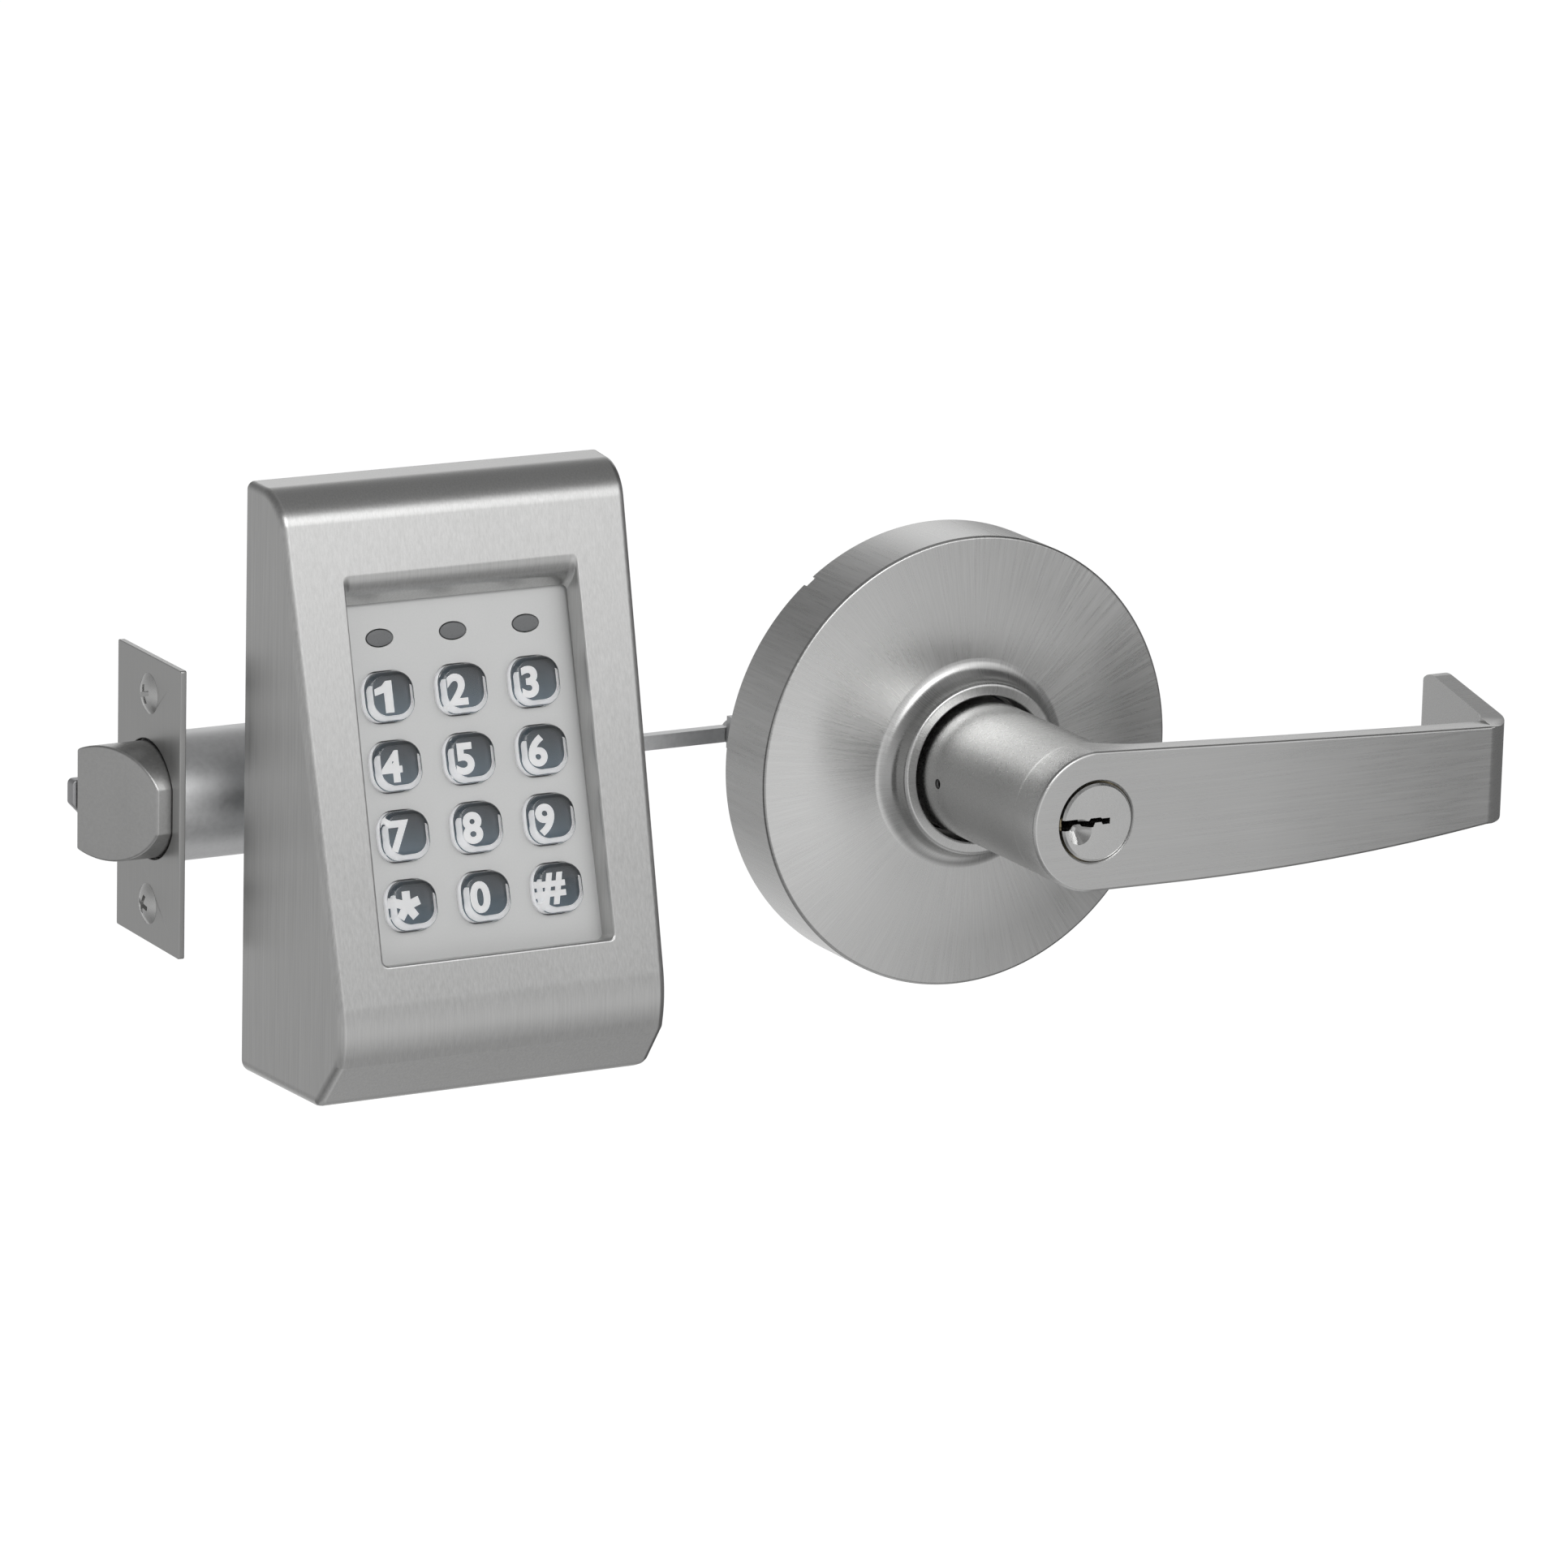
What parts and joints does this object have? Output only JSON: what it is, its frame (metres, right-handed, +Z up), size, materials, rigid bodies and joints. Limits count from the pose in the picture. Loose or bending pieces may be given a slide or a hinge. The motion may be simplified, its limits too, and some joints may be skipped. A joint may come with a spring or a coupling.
{
  "type": "keypad smart lock",
  "caption": "Edge latch, sloped keypad housing with clear push keys and outside lever with key cylinder on a round rose, set out on one door plane.",
  "frame": {"origin": "on the lever axis at the door's outer face, where the back of the rose lies", "axes": "+X along the door to the right as seen from outside, towards the lever's free end; +Y into the door; +Z up"},
  "size_m": [0.2714, 0.103, 0.1171],
  "materials": {
    "satin_nickel": "brushed satin nickel",
    "plated_steel": "zinc-plated steel",
    "spring_steel": "drawn spring wire",
    "cast_zinc": "bare die-cast zinc",
    "brass": "machined",
    "nylon": "moulded nylon",
    "panel_plastic": "smooth light grey",
    "key_plastic": "clear cap over a blue-grey insert with a white figure",
    "led_lens": "smoked lens",
    "silicone": "moulded silicone sheet",
    "circuit_board": "glass-fibre board with solder resist"
  },
  "bodies": {
    "lockset": {"rose": "satin_nickel", "lever_bearing": "nylon", "rose_mounting_plate": "plated_steel", "mounting_screw_left": "plated_steel", "mounting_screw_right": "plated_steel", "chassis_housing": "plated_steel", "chassis_cover": "plated_steel", "lock_motor": "plated_steel", "faceplate": "satin_nickel", "faceplate_screw_upper": "plated_steel", "faceplate_screw_lower": "plated_steel", "latch_case": "plated_steel", "latch_spring": "spring_steel", "lever_return_spring": "spring_steel", "keypad_housing": "satin_nickel", "keypad_back_plate": "plated_steel", "keypad_bolt_lower": "plated_steel", "keypad_bolt_upper": "plated_steel", "keypad_panel": "panel_plastic", "led_lens_1": "led_lens", "led_lens_2": "led_lens", "led_lens_3": "led_lens", "key_membrane": "silicone", "keypad_circuit_board": "circuit_board"},
    "lever": {"lever_handle": "satin_nickel", "spindle": "plated_steel", "retractor_crank": "plated_steel", "spindle_driver": "plated_steel", "cylinder_shell": "brass"},
    "lever_catch": {"lever_catch": "plated_steel"},
    "plug": {"key_plug": "satin_nickel", "tailpiece": "plated_steel"},
    "retractor": {"retractor": "plated_steel", "extension_link": "plated_steel", "retractor_link_pin": "plated_steel"},
    "bolt": {"latch_bolt": "satin_nickel", "bolt_tail": "plated_steel", "bolt_link_pin": "plated_steel"},
    "deadlatch": {"deadlatch_plunger": "cast_zinc"},
    "lead_screw": {"motor_lead_screw": "brass"},
    "dog": {"locking_dog": "nylon"},
    "button_1": {"key_1": "key_plastic"},
    "button_2": {"key_2": "key_plastic"},
    "button_3": {"key_3": "key_plastic"},
    "button_4": {"key_4": "key_plastic"},
    "button_5": {"key_5": "key_plastic"},
    "button_6": {"key_6": "key_plastic"},
    "button_7": {"key_7": "key_plastic"},
    "button_8": {"key_8": "key_plastic"},
    "button_9": {"key_9": "key_plastic"},
    "button_star": {"key_star": "key_plastic"},
    "button_0": {"key_0": "key_plastic"},
    "button_hash": {"key_hash": "key_plastic"}
  },
  "joints": [
    {"name": "lever_turn", "type": "hinge", "parent": "lockset", "child": "lever", "pos_m": [0, 0, 0], "axis": [0, 1, 0], "range_deg": [0, 50], "stiffness_Nm_per_rad": 0.6, "springref_deg": -25.78, "deforming": ["lever_return_spring"]},
    {"name": "plug_turn", "type": "hinge", "parent": "lever", "child": "plug", "pos_m": [0, 0, 0], "axis": [0, 1, 0], "range_deg": [-90, 90]},
    {"name": "catch_press", "type": "slide", "parent": "lever", "child": "lever_catch", "axis": [1, 0, 0], "range_m": [0, 0.0015], "stiffness_N_per_m": 400, "springref_m": -0.001},
    {"name": "retractor_slide", "type": "slide", "parent": "lockset", "child": "retractor", "axis": [1, 0, 0], "range_m": [0, 0.0127]},
    {"name": "bolt_slide", "type": "slide", "parent": "lockset", "child": "bolt", "axis": [1, 0, 0], "range_m": [0, 0.0127], "stiffness_N_per_m": 200, "springref_m": -0.01, "deforming": ["latch_spring"]},
    {"name": "deadlatch_slide", "type": "slide", "parent": "bolt", "child": "deadlatch", "axis": [1, 0, 0], "range_m": [0, 0.009], "stiffness_N_per_m": 120, "springref_m": -0.01},
    {"name": "screw_turn", "type": "hinge", "parent": "lockset", "child": "lead_screw", "pos_m": [0.0034, -0.0068, 0.0258], "axis": [0, 0, 1], "range_deg": [0, 360]},
    {"name": "dog_slide", "type": "slide", "parent": "lockset", "child": "dog", "axis": [0, 0, -1], "range_m": [0, 0.003]},
    {"name": "press_1", "type": "slide", "parent": "lockset", "child": "button_1", "axis": [0, 0.9603, -0.279], "range_m": [0, 0.0012], "stiffness_N_per_m": 800, "springref_m": -0.0003},
    {"name": "press_2", "type": "slide", "parent": "lockset", "child": "button_2", "axis": [0, 0.9603, -0.279], "range_m": [0, 0.0012], "stiffness_N_per_m": 800, "springref_m": -0.0003},
    {"name": "press_3", "type": "slide", "parent": "lockset", "child": "button_3", "axis": [0, 0.9603, -0.279], "range_m": [0, 0.0012], "stiffness_N_per_m": 800, "springref_m": -0.0003},
    {"name": "press_4", "type": "slide", "parent": "lockset", "child": "button_4", "axis": [0, 0.9603, -0.279], "range_m": [0, 0.0012], "stiffness_N_per_m": 800, "springref_m": -0.0003},
    {"name": "press_5", "type": "slide", "parent": "lockset", "child": "button_5", "axis": [0, 0.9603, -0.279], "range_m": [0, 0.0012], "stiffness_N_per_m": 800, "springref_m": -0.0003},
    {"name": "press_6", "type": "slide", "parent": "lockset", "child": "button_6", "axis": [0, 0.9603, -0.279], "range_m": [0, 0.0012], "stiffness_N_per_m": 800, "springref_m": -0.0003},
    {"name": "press_7", "type": "slide", "parent": "lockset", "child": "button_7", "axis": [0, 0.9603, -0.279], "range_m": [0, 0.0012], "stiffness_N_per_m": 800, "springref_m": -0.0003},
    {"name": "press_8", "type": "slide", "parent": "lockset", "child": "button_8", "axis": [0, 0.9603, -0.279], "range_m": [0, 0.0012], "stiffness_N_per_m": 800, "springref_m": -0.0003},
    {"name": "press_9", "type": "slide", "parent": "lockset", "child": "button_9", "axis": [0, 0.9603, -0.279], "range_m": [0, 0.0012], "stiffness_N_per_m": 800, "springref_m": -0.0003},
    {"name": "press_star", "type": "slide", "parent": "lockset", "child": "button_star", "axis": [0, 0.9603, -0.279], "range_m": [0, 0.0012], "stiffness_N_per_m": 800, "springref_m": -0.0003},
    {"name": "press_0", "type": "slide", "parent": "lockset", "child": "button_0", "axis": [0, 0.9603, -0.279], "range_m": [0, 0.0012], "stiffness_N_per_m": 800, "springref_m": -0.0003},
    {"name": "press_hash", "type": "slide", "parent": "lockset", "child": "button_hash", "axis": [0, 0.9603, -0.279], "range_m": [0, 0.0012], "stiffness_N_per_m": 800, "springref_m": -0.0003}
  ],
  "couplings": [
    {"joint": "retractor_slide", "follows": "lever_turn", "m_per_rad": 0.01455},
    {"joint": "bolt_slide", "follows": "lever_turn", "m_per_rad": 0.01455},
    {"joint": "screw_turn", "follows": "dog_slide", "rad_per_m": 2094.4}
  ]
}
